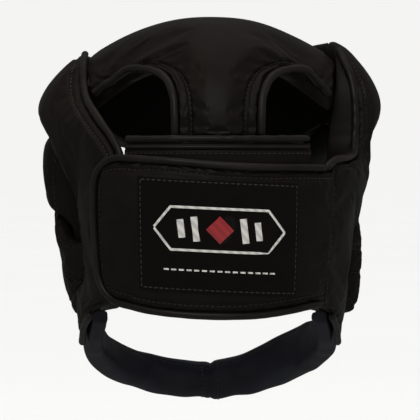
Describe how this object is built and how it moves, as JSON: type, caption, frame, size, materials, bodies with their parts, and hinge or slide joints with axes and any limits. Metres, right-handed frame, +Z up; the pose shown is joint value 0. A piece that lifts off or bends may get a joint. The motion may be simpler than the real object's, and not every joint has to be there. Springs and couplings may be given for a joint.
{
  "type": "padded head guard",
  "caption": "Padded leather head guard with cheek pads, a chin bar and a wide hook-and-loop flap across the back of the head.",
  "frame": {"origin": "where the top of the head touches the inside of the crown", "axes": "+Z up along the wearer's head, +Y the way the wearer faces, +X the wearer's right"},
  "size_m": [0.2301, 0.2549, 0.2671],
  "materials": {
    "black_leather": "satin grained",
    "edge_leather": "satin, rolled over",
    "chin_leather": "satin grained",
    "black_cloth": "hook and loop pile",
    "label_satin": "woven satin"
  },
  "bodies": {
    "root": {"crown_pad": "black_leather", "crown_edge_left": "edge_leather", "crown_edge_right": "edge_leather", "forehead_pad": "black_leather", "side_pad_left": "black_leather", "side_edge_left": "edge_leather", "hem_left": "edge_leather", "side_pad_right": "black_leather", "side_edge_right": "edge_leather", "hem_right": "edge_leather", "cheek_pad_left": "black_leather", "cheek_pad_right": "black_leather", "jaw_pad_left": "black_leather", "jaw_pad_right": "black_leather", "chin_bar": "chin_leather", "closure_tail": "black_cloth", "hook_strip": "black_cloth", "back_tab": "black_leather", "tab_facing": "black_leather", "tab_hem": "edge_leather", "closure_flap": "black_leather", "flap_edge": "edge_leather", "label_patch": "label_satin"}
  },
  "joints": []
}
